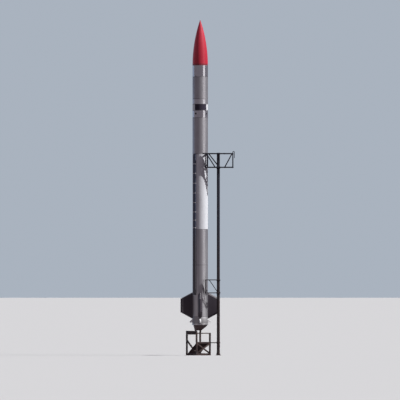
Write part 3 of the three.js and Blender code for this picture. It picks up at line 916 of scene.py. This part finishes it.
def tail():
    """The open skirt, and the base ring under it with bolts round it."""
    skirt = hoop(SKIRT_BORE, BODY_R, *span("tail_skirt"), edge=GROOVE)
    piece("tail_skirt_skin", skirt, "satin", replaces=["tail_skirt"])

    low, high = span("base_ring")
    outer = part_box("base_ring")[1].x
    ring = hoop(BASE_RING_BORE, outer, low, high, edge=0.004, steps=3)
    piece("base_ring_turned", ring, "bright", replaces=["base_ring"])
    bolts = bolt_ring(0.02, 0.4, 16, outer - 0.0005, (low + high) / 2, first=math.radians(11.25))
    piece("base_ring_bolts", bolts, "bright")


def raceway():
    """The raceway's cover: a channel section with round corners, carried up the body and sloped
    at both ends, in lengths with a lap strap over each joint, and the straps on the tank."""
    low, high = span("raceway")
    half, outer, slope = RACEWAY["width"] / 2, RACEWAY["outer"], RACEWAY["slope"]
    inner = math.sqrt(BODY_R**2 - half**2)
    heights = np.array([low, low + slope, high - slope, high])
    tops = np.array([BODY_R + 0.004, outer, outer, BODY_R + 0.004])
    turn = np.linspace(0, 1, 9)
    y = np.concatenate([[-half], half * np.sin((turn - 0.5) * math.pi), [half]])
    crown = np.concatenate([[0], 1 - np.abs(2 * turn - 1) ** 6 * 0.2, [0]])
    x = inner + crown * (tops[:, None] - inner)
    y, z = (np.broadcast_to(v, x.shape) for v in (y, heights[:, None]))
    cover = loft(np.stack([x, y, z], -1))
    piece("raceway_cover", moved(cover, RACEWAY_TURN), "raceway", replaces=["raceway"])

    def strap(height, tall, thick, wide):
        """A strap over the cover: flat feet on the body, and the cover's sides and top between."""
        x = np.array([inner - 0.004, BODY_R + 0.001, outer + thick])
        y = half + np.array([wide, 0.004, 0.002])
        outline = np.column_stack([np.append(x, x[::-1]), np.append(-y, y[::-1])])
        return slab(rounded(outline, 0.006, 3), height - tall / 2, height + tall / 2, 0.001)

    straps = joined(*(strap(z, **STRAP) for z in STRAP_HEIGHTS))
    piece("raceway_straps", moved(straps, RACEWAY_TURN), "bright")
    lap_heights = np.arange(low + LAPS["first"], LAPS["below"], LAPS["every"])
    laps = joined(*(strap(z, **LAP) for z in lap_heights))
    piece("raceway_laps", moved(laps, RACEWAY_TURN), "raceway")


def fin_shape():
    """A fin along +X: a six-sided section, bevelled at its leading and trailing edges, carried
    from the body out to a thin bevelled tip. Its corners are slightly rounded."""
    tip, bevel, half, tip_half = FIN["tip"], FIN["edge_bevel"], FIN["thick"] / 2, FIN["tip_thick"] / 2
    slope_bottom = (FIN["tip_bottom"] - FIN["root_bottom"]) / (tip - BODY_R)
    knee = tip - FIN["tip_bevel"]
    rings = []
    for r, wide, cut in (
        (BODY_R - 0.006, half, bevel),
        (0.5 * (BODY_R + knee), half, bevel),
        (knee - 0.004, half, bevel),
        (knee + 0.004, half - 0.0025, bevel - 0.0025),
        (tip - 0.003, tip_half + 0.0015, tip_half + 0.0015),
        (tip, tip_half - 0.0015, tip_half),
    ):
        top = FIN["root_top"] - FIN_SLOPE * (r - BODY_R)
        bottom = FIN["root_bottom"] + slope_bottom * (r - BODY_R)
        left = [(0, top), (-wide, top - cut), (-wide, bottom + cut)]
        right = [(0, bottom), (wide, bottom + cut), (wide, top - cut)]
        corners = rounded(left + right, 0.004, 2)
        rings.append(np.column_stack([np.full(len(corners), r), corners]))
    return loft(rings)


def fins():
    """Four fins, each with a bolted strip along both sides of its root."""
    low, high = FIN["root_bottom"] + FIN_STRIP["end"], FIN["root_top"] - FIN_STRIP["end"]
    foot, edge = BODY_R - 0.012, BODY_R + 0.03
    outline = [(foot, 0.05), (edge, 0.05), (edge, 0.058), (BODY_R - 0.003, 0.062), (foot, 0.07)]
    strip = slab(rounded(outline, 0.002, 2), low, high, 0.001)
    mirrored = outward((strip[0] * [1, -1, 1], strip[1]))
    heights = np.linspace(low + 0.03, high - 0.03, FIN_STRIP["bolts"])
    sides = [(s, z) for s in (-1, 1) for z in heights]
    at = [(BODY_R + 0.017, s * 0.058, z) for s, z in sides]
    heads = scattered(bolt(0.016, 0.4), at, [(0, s, 0) for s, _ in sides])
    root = joined(strip, mirrored, heads)
    for node, degrees in FIN_TURNS.items():
        angle = math.radians(degrees)
        piece(node + "_skin", moved(fin_shape(), angle), "fin", replaces=[node], sharp=24)
        piece(node + "_root", moved(root, angle), "fin")


def lugs():
    """Hold-down lugs under the fins: the outline of a bracket with a notch in its foot, as a
    forging that gets thinner outwards in proportion to the distance, with chamfered edges."""
    root, tip, foot, top = BODY_R - 0.004, LUG["tip"], LUG["foot"], LUG["top"]
    notch = [(0.286, foot), (0.3, 1.098), (0.314, foot)]
    outer = [(0.34, foot), (tip, 1.122), (0.258, top)]
    flat = rounded([(root, foot), *notch, *outer, (root, top)], 0.005, 3)
    middle, chamfer = flat.mean(0), 0.006
    rings = []
    for side, inset in ((-1, chamfer), (-1, 0), (1, 0), (1, chamfer)):
        x, z = (middle + (flat - middle) * (1 - inset / 0.05)).T
        half = np.interp(x, [BODY_R, tip], [LUG["half_root"], LUG["half_tip"]]) - chamfer + inset
        rings.append(np.column_stack([x, side * half, z]))
    shape = loft(rings)
    for fin, degrees in FIN_TURNS.items():
        node = fin.replace("fin", "lug")
        piece(node + "_forged", moved(shape, math.radians(degrees)), "white", replaces=[node])


def thrust_yoke():
    """A round plate under the engine bay with bolts round it, and two ears with bosses."""
    low, high = span("thrust_yoke")
    plate_bottom = high - YOKE["plate"]
    shapes = [revolve(oblong(0, plate_bottom, YOKE["radius"], high), turns=96)]
    near, far = YOKE["ears"]
    half = YOKE["ear_half"]
    boss = revolve(oblong(0.0105, 0, 0.019, 0.0015), turns=32)
    for side in (-1, 1):
        inner, outer = sorted((side * near, side * far))
        shapes.append(block((inner, -half, low), (outer, half, plate_bottom + 0.004)))
        shapes.append(scattered(boss, [(side * far, 0, PIVOT)], [(side, 0, 0)]))
    shapes.append(bolt_ring(0.014, 0.45, 12, 0.112, plate_bottom - 0.0005, along=-UP))
    piece("thrust_yoke_forged", joined(*shapes), "heat", replaces=["thrust_yoke"])


def gimbal_ring():
    """A ring with a pin on each side."""
    inner, outer, half = GIMBAL["inner"], GIMBAL["outer"], GIMBAL["half"]
    ring = hoop(inner, outer, PIVOT - half, PIVOT + half, turns=96)
    pin = revolve([(0, -0.006), (0.01, -0.006), (0.01, 0.021), (0.0085, 0.022), (0, 0.022)], turns=24)
    pins = scattered(pin, [(outer, 0, PIVOT), (-outer, 0, PIVOT)], [RIGHT, -RIGHT])
    piece("gimbal_ring_turned", joined(ring, pins), "heat", "gimbal", ["gimbal_ring"])


def engine():
    """The chamber and the bell as one turned wall, the bell a quarter sine from the throat to the
    mouth, with hoops round it and a stub on each side."""
    radius, top, neck = CHAMBER["radius"], CHAMBER["top"], CHAMBER["neck_top"]
    crown, bore = top - 0.02, radius - 0.01
    fall, flare = EXIT["z"] - THROAT["z"], EXIT["radius"] - THROAT["radius"]
    t = np.linspace(0, 1, 28)
    bell_z = THROAT["z"] + fall * t
    bell_r = THROAT["radius"] + flare * np.sin(t * math.pi / 2)
    outside = np.column_stack([bell_r, bell_z])[::-1]
    inside = np.column_stack([bell_r - NOZZLE_WALL, bell_z])
    chamber = [(radius, neck), (radius, top), (0, top)]
    profile = np.concatenate([[(0, crown), (bore, crown), (bore, neck)], inside, outside, chamber])
    shapes = [revolve(profile, turns=96)]
    for share in (0.35, 0.55, 0.75, 1.0):
        z = THROAT["z"] + (fall + 0.002) * share
        r = THROAT["radius"] + flare * math.sin(share * math.pi / 2)
        shapes.append(revolve(circle(0.002, 10) + np.array([r - 0.002, z]), turns=96))
    stub = revolve(oblong(0, -0.008, 0.01, 0.033), turns=24)
    shapes.append(scattered(stub, [(0, radius, PIVOT), (0, -radius, PIVOT)], [BACK, -BACK]))
    piece("engine_bell", joined(*shapes), "heat", "engine", ["engine"])


# The launch stand.


def stool():
    """The ring under the rocket, a leaning cone under it, and four legs. The cone is a turned
    profile whose points are shifted in X in proportion to how far they lie below the ring."""
    foot, top = span("launch_stool")
    ring = hoop(STOOL["inner"], STOOL["outer"], STOOL["bottom"], top)
    low, high, narrow, wide = (CONE[k] for k in ("bottom", "top", "narrow", "wide"))
    bend, wall = low + 0.014, CONE["wall"]
    skin = [(narrow, low), (narrow, bend), (wide, high)]
    lining = [(wide - wall, high), (narrow - wall, bend)]
    points, faces = revolve(rounded([(narrow - wall, low), *skin, *lining], 0.002, 1))
    points[:, 0] += CONE["lean"] * (high - points[:, 2]) / (high - low)
    at, half, seam = LEG["circle"], LEG["pad_half"], LEG["size"] / 2 + 0.0005
    leg = joined(
        bar((at, 0, foot), (at, 0, low + 0.01), LEG["size"]),
        block((at - half, -half, foot), (at + half, half, foot + LEG["pad_tall"])),
        weld((at, 0, foot + 0.008), seam, seam),
    )
    legs = [moved(leg, STAND["turn"] + k * math.pi / 2, (CONE["lean"], 0, 0)) for k in range(4)]
    shape = joined(ring, (points, faces), *legs)
    piece("launch_stool_welded", shape, "stand", replaces=["launch_stool"])
    bolts = bolt_ring(0.018, 0.5, 12, STOOL["outer"] - 0.0005, (STOOL["bottom"] + top) / 2)
    piece("launch_stool_bolts", bolts, "stand")


def in_stand(x, y):
    """A point of the rocket's plan in the stand's own turned frame."""
    return turned_about(np.array([x - STAND["x"], y, 0.0]), -STAND["turn"])[:2]


def stand_piece(name, shape, node, finish="stand"):
    """A piece whose shape is given in the stand's own turned frame."""
    piece(name, moved(shape, STAND["turn"], (STAND["x"], 0, 0)), finish, replaces=[node])


def square_frame(low, high, wide, bevel):
    """Four mitred lengths that make a square frame, as one outline inside another."""
    inner = OUTER - wide
    outline = [(-OUTER, -OUTER), (OUTER, -OUTER), (inner, -inner), (-inner, -inner)]
    side = slab(rounded(outline, 0.0015, 1), low, high, bevel)
    return joined(*(moved(side, quarter * math.pi / 2) for quarter in range(4)))


def stand_base():
    """The base frame, with a sole bar under the rocket's axis."""
    reach, y = INSIDE + 0.005, in_stand(0.0, 0.0)[1]
    sole = block((-reach, y - SOLE["half"], 0), (reach, y + SOLE["half"], SOLE["thick"]))
    shape = joined(square_frame(0, BASE_TOP, STAND["tube"], 0.004), sole)
    stand_piece("stand_base_welded", shape, "stand_base_frame")


def stand_posts():
    """Four posts, each with a weld bead round its foot and its head."""
    low, high = span("stand_post_left")
    tube = STAND["tube"]
    for corner, (a, b) in POSTS.items():
        x, y = a * HALF, b * HALF
        post = bar((x, y, low), (x, y, high), tube)
        welds = [weld((x, y, z), tube / 2, tube / 2) for z in (low + 0.002, high - 0.003)]
        node = "stand_post_" + corner
        stand_piece(node + "_tube", joined(post, *welds), node)


def stand_top():
    """The top frame, with two pairs of beams under the stool's legs and one deep side, and the
    header on that side."""
    deep_bottom, top = span("stand_top_frame")
    low = span("stand_post_left")[1] + SEAT
    middle = in_stand(CONE["lean"], 0.0)
    reach, half = OUTER - TOP_WIDE + 0.004, TOP_WIDE / 2
    shapes = [square_frame(low, top, TOP_WIDE, 0.003)]
    for side in (-1, 1):
        x, y = middle + side * LEG["circle"]
        shapes.append(block((x - half, -reach, low), (x + half, reach, top)))
        shapes.append(block((-reach, y - half, low + 0.0005), (reach, y + half, top - 0.0005)))
    face, clear = HEADER_WIDE - OUTER, INSIDE - SEAT
    shapes.append(block((-OUTER, -clear, deep_bottom), (face, clear, low + 0.001), 0.003))
    stand_piece("stand_top_welded", joined(*shapes), "stand_top_frame")

    low, high = span("stand_header")
    header = block((-OUTER, -OUTER, low), (face, OUTER, high), 0.004)
    stand_piece("stand_header_beam", header, "stand_header")


def stand_braces():
    """The middle rail and a cross of two tubes under it, and a slanting tube on the left side."""
    rail_low, rail_high = span("stand_mid_rail")
    rail = block((-INSIDE, -HALF - RAIL_HALF, rail_low), (INSIDE, RAIL_HALF - HALF, rail_high), 0.003)
    stand_piece("stand_rail_beam", rail, "stand_mid_rail")

    low, high, reach = BASE_TOP + 0.005, rail_low - 0.005, INSIDE + 0.01
    rising = bar((-reach, -HALF, low), (reach, -HALF, high), BRACE, up=BACK)
    falling = bar((-reach, -HALF, high), (reach, -HALF, low), BRACE - PROUD, up=BACK)
    stand_piece("stand_cross_tubes", joined(rising, falling), "stand_cross_brace")

    side = bar((-HALF, reach, SIDE_BRACE_TOP), (-HALF, -reach, low), BRACE, up=RIGHT)
    stand_piece("stand_side_tube", side, "stand_side_brace")


def flame_deflector():
    """A plate that slopes from the middle rail down to the other side of the base frame, with a
    flange turned down at both ends: sections in Y and Z, drawn out along X."""
    top = span("stand_mid_rail")[1]
    high_edge, low_edge = RAIL_HALF - HALF + SEAT, OUTER - 0.03
    slope = (top - BASE_TOP) / (high_edge - low_edge)
    wide, thick, flange = (DEFLECTOR[k] for k in ("half_width", "thick", "flange"))
    flanges = (flange, -wide, thick - wide), (flange, wide - thick, wide)
    parts = []
    for drop, left, right in ((0.0, -wide, wide), *flanges):
        run = 1.6 * thick + drop
        lower = [(low_edge - run, BASE_TOP + SEAT), (low_edge, BASE_TOP + SEAT)]
        upper = [(high_edge, top), (high_edge, top + slope * run)]
        points, faces = slab(rounded(lower + upper, 0.002, 2), left, right)
        parts.append(outward((points[:, [2, 0, 1]], faces)))
    stand_piece("deflector_plate", joined(*parts), "flame_deflector", "plate")


# The mast and its arms.


def mast():
    """The mast pipe, its foot with bolts round the flange, and the two stop collars."""
    low, high = span("mast")
    pipe = revolve(oblong(0, low, MAST["radius"], high), MAST_AXIS, 64)
    piece("mast_pipe", pipe, "mast", replaces=["mast"])

    low, high = span("mast_foot")
    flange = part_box("mast_foot")[1].x - MAST["x"]
    plate, socket = MAST_FOOT["plate"], MAST_FOOT["socket"]
    outer = [(flange, low), (flange, plate), (socket, plate), (socket, high)]
    foot = revolve(rounded([(MAST_FIT, low), *outer, (MAST_FIT, high)], 0.003, 2), MAST_AXIS, 96)
    turn = math.radians(22.5)
    heads = bolt_ring(0.018, 0.55, 8, MAST_FOOT["bolt_circle"], plate, MAST_AXIS, turn, along=UP)
    piece("mast_foot_cast", joined(foot, heads), "mast", replaces=["mast_foot"])

    turn = math.radians(-60)
    for node in ("mast_collar_upper", "mast_collar_lower"):
        low, high = span(node)
        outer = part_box(node)[1].x - MAST["x"]
        collar = hoop(MAST_FIT, outer, low, high, MAST_AXIS, 96)
        heads = bolt_ring(0.014, 0.5, 2, outer - 0.001, (low + high) / 2, MAST_AXIS, turn)
        piece(node + "_turned", joined(collar, heads), "mast", replaces=[node])


def mast_tie():
    """The tie: a square bar from the stand's right post to a split clamp round the mast."""
    low, high = span("mast_tie")
    level, clamp = (low + high) / 2, TIE["clamp"]
    post = turned_about(np.array([HALF, -HALF, level]), STAND["turn"]) + [STAND["x"], 0, 0]
    axis = np.array([*MAST_AXIS, level])
    along = (axis - post) / np.linalg.norm(axis - post)
    across = np.array([-along[1], along[0], 0.0])
    link = bar(post + along * 0.026, axis - along * (clamp - 0.004), TIE["bar"])
    ring = hoop(MAST_FIT, clamp, low, high, MAST_AXIS, 64)
    seam = weld(axis - along * (clamp + 0.001), 0.017, 0.017, across, UP)
    sides = [(s, z) for s in (-1, 1) for z in (-0.012, 0.012)]
    at = [axis + s * 0.057 * across + z * UP for s, z in sides]
    heads = scattered(bolt(0.012, 0.5), at, [s * across for s, _ in sides])
    shape = joined(link, ring, seam, heads)
    piece("mast_tie_welded", shape, "mast", replaces=["mast_tie"])


def truss(node, arm):
    """The bars of an arm, with a weld bead where each post or diagonal meets a long bar, and the
    two sleeves that turn on the mast. A bead lies in the face of the long bar: the slanting bar's
    section there is longer by the slant."""
    low, high = span(node)[0], arm["top"]
    half = arm["bar"] / 2
    foot, head = low + half, high - half
    bar_faces = (foot + half, head - half)
    shapes = []
    posts = [(side, inner, arm["post"]) for side, inner, _ in arm["frames"]]
    if arm["end_posts"]:
        posts += [(side, outer, arm["bar"]) for side, _, outer in arm["frames"]]
    for side, inner, outer in arm["frames"]:
        y, start, end = MAST["y"] + side * ARM_HALF, inner - arm["post"] / 2, outer + half
        shapes += [bar((start, y, z), (end, y, z), arm["bar"]) for z in (foot, head)]
    for side, x, size in posts:
        y = MAST["y"] + side * ARM_HALF
        shapes.append(bar((x, y, foot), (x, y, head), size - PROUD))
        shapes += [weld((x, y, z), size / 2, size / 2) for z in bar_faces]
    size = arm["diagonal"]
    for side, top_x, foot_x in arm["diagonals"]:
        y, lean = MAST["y"] + side * ARM_HALF, (top_x - foot_x) / (head - foot)
        shapes.append(bar((top_x, y, head), (foot_x, y, foot), size, up=BACK))
        for z in bar_faces:
            x = foot_x + lean * (z - foot)
            shapes.append(weld((x, y, z), size / 2 * math.hypot(1, lean), size / 2))
    wide, tall, outer = SLEEVE["plate"], SLEEVE["tall"], SLEEVE["outer"]
    for bottom in (low, high - tall):
        top = bottom + tall
        shapes.append(hoop(SLEEVE["inner"], outer, bottom, top, MAST_AXIS, 64))
        for side, _, _ in arm["frames"]:
            y0, y1 = sorted(MAST["y"] + side * away for away in (SLEEVE["start"], ARM_HALF))
            near, far = (MAST["x"] - wide, y0, bottom + 0.001), (MAST["x"] + wide, y1, top - 0.001)
            shapes.append(block(near, far))
        shapes.append(bolt_ring(0.016, 0.5, 2, outer - 0.001, (bottom + top) / 2, MAST_AXIS))
    return shapes, foot, head


def upper_arm():
    """Two frames joined by cross bars, a tine past the front of the body, and a gooseneck with a
    ring at its foot at the outer end."""
    shapes, foot, head = truss("upper_arm", UPPER)
    front, back = MAST["y"] - ARM_HALF, MAST["y"] + ARM_HALF
    size, half = UPPER["bar"], UPPER["bar"] / 2
    front_inner, back_inner = (inner for _, inner, _ in UPPER["frames"])
    for z in (foot, head):
        shapes.append(bar((front_inner, front, z), (back_inner, back, z), size - PROUD))
        for x in CROSS_BARS:
            shapes.append(bar((x, front, z), (x, back, z), size - PROUD))
            shapes += [weld((x, y, z), half, half, b=UP) for y in (front + half, back - half)]
    start = front_inner - UPPER["post"] / 2
    shapes.append(bar((TINE_END, front, head), (start + 0.0015, front, head), size))
    shapes.append(weld((start, front, head), half, half, BACK, UP, 0.0025))

    outer = CROSS_BARS[-1]
    rise, reach, drop = (GOOSENECK[k] for k in ("rise", "reach", "drop"))
    bend = rounded([(0, 0.01), (0, rise), (reach, rise), (reach, -drop)], 0.024, 8, closed=False)
    path = np.column_stack([outer + bend[:, 0], np.full(len(bend), front), head + bend[:, 1]])
    shapes.append(swept(circle(GOOSENECK["bar"] / 2), path, up=BACK))
    ring = revolve(oblong(0.0105, 0, 0.018, 0.012), turns=32)
    shapes.append(scattered(ring, [(outer, front, head + half - 0.001)], [UP]))
    piece("upper_arm_welded", joined(*shapes), "mast", "upper_arm", ["upper_arm"])


def lower_arm():
    """One frame."""
    shapes, _, _ = truss("lower_arm", LOWER)
    piece("lower_arm_welded", joined(*shapes), "mast", "lower_arm", ["lower_arm"])


# Floor, light and camera.

PIXEL = 0.033  # what one pixel of the photograph spans at the rocket
PICTURE = 400
AXIS_COLUMN, FLOOR_ROW, EYE_ROW = 200.2, 355.3, 292.0  # photograph pixels
DISTANCE = 250.0
SUN_TURN, SUN_RISE = 76.0, 46.0  # degrees to the right of the view, and above the floor


def floor():
    """A wide flat floor, a little below the lowest face."""
    reach = 2500.0
    corners = [(x, y, -0.0005) for x, y in oblong(-reach, -reach, reach, reach)]
    mesh = bpy.data.meshes.new("floor")
    mesh.from_pydata(corners, [], [(0, 1, 2, 3)])
    made = bpy.data.objects.new("floor", mesh)
    bpy.context.scene.collection.objects.link(made)
    f = Finish("floor_pale", Metallic=0.0, Specular_IOR_Level=0.0)
    mesh.materials.append(f.surface((0.6, 0.59, 0.58, 1), 1.0))
    made.visible_diffuse = made.visible_glossy = False


def lamp(name, kind, energy, turn, rise, distance=30.0, level=5.5, **settings):
    """A lamp at an angle to the right of the view and above a level, aimed at the rocket there."""
    data = bpy.data.lights.new(name, kind)
    data.energy = energy
    for setting, value in settings.items():
        setattr(data, setting, value)
    made = bpy.data.objects.new(name, data)
    bpy.context.scene.collection.objects.link(made)
    a, e = math.radians(turn), math.radians(rise)
    aim = np.array([0.0, 0.0, level])
    out = np.array([math.sin(a) * math.cos(e), -math.cos(a) * math.cos(e), math.sin(e)])
    made.location = aim + out * distance
    made.rotation_euler = (math.pi / 2 - e, 0, a)
    made.visible_camera = False
    return made


def lights():
    """A soft sun from the upper right, a weak blue fill from the left and behind, upright panels
    that only show in gloss, a faint glow from the ground on the tail, and a pale sky."""
    sun = lamp("sun", "SUN", 4.2, SUN_TURN, SUN_RISE, angle=math.radians(2.0), color=(0.98, 0.985, 1.0))
    open_to_sun = bpy.data.collections.new("open_to_sun")
    open_to_sun.objects.link(bpy.data.objects["mast_pipe"])
    open_to_sun.collection_objects[0].light_linking.link_state = "EXCLUDE"
    sun.light_linking.blocker_collection = open_to_sun
    fill = lamp("fill", "SUN", 0.6, -125, 30, angle=math.radians(50), color=(0.6, 0.8, 1.0))
    fill.visible_glossy = False
    for name, energy, turn, wide, colour in (
        ("bright_panel", 820, 60, 9.0, (1.0, 0.99, 1.0)),
        ("right_panel", 110, 112, 34.0, (0.62, 0.78, 1.0)),
        ("left_panel", 700, -135, 34.0, (0.42, 0.68, 1.0)),
    ):
        panel = lamp(name, "AREA", energy, turn, 3, color=colour, shape="RECTANGLE", size=wide)
        panel.data.size_y = 24.0
        panel.visible_diffuse = False
    lamp("ground_glow", "AREA", 5.0, -60, -8, 3.0, 1.2, color=(1.0, 0.95, 0.93), size=3.0)
    world = bpy.data.worlds.new("studio")
    bpy.context.scene.world = world
    sky = Nodes(world)
    glow = sky.node("ShaderNodeBackground", sockets={"Color": (0.14, 0.125, 0.145, 1)})
    backdrop = sky.node("ShaderNodeBackground", sockets={"Color": (0.40, 0.45, 0.52, 1)})
    seen = sky.node("ShaderNodeLightPath", output="Is Camera Ray")
    blend = sky.node("ShaderNodeMixShader", sockets={0: seen, 1: glow, 2: backdrop})
    sky.node("ShaderNodeOutputWorld", sockets={"Surface": blend})


def camera():
    """A far camera at eye height, tilted up so that the rocket stands as in the photograph. The
    picture shows colours as they are, without a film curve."""
    data = bpy.data.cameras.new("camera")
    data.sensor_width = 36.0
    data.lens = data.sensor_width * DISTANCE / (PIXEL * PICTURE)
    data.clip_start, data.clip_end = 10.0, 5000.0
    made = bpy.data.objects.new("camera", data)
    bpy.context.scene.collection.objects.link(made)
    aside = (PICTURE / 2 - AXIS_COLUMN) * PIXEL
    eye = (FLOOR_ROW - EYE_ROW) * PIXEL
    middle = (FLOOR_ROW - PICTURE / 2) * PIXEL
    made.location = (aside, -DISTANCE, eye)
    made.rotation_euler = (math.pi / 2 + math.atan2(middle - eye, DISTANCE), 0, 0)
    bpy.context.scene.camera = made
    bpy.context.scene.view_settings.view_transform = "Standard"


nose_cone()
body_sections()
section_screws()
tail()
raceway()
fins()
lugs()
thrust_yoke()
gimbal_ring()
engine()
stool()
stand_base()
stand_posts()
stand_top()
stand_braces()
flame_deflector()
mast()
mast_tie()
upper_arm()
lower_arm()
floor()
lights()
camera()
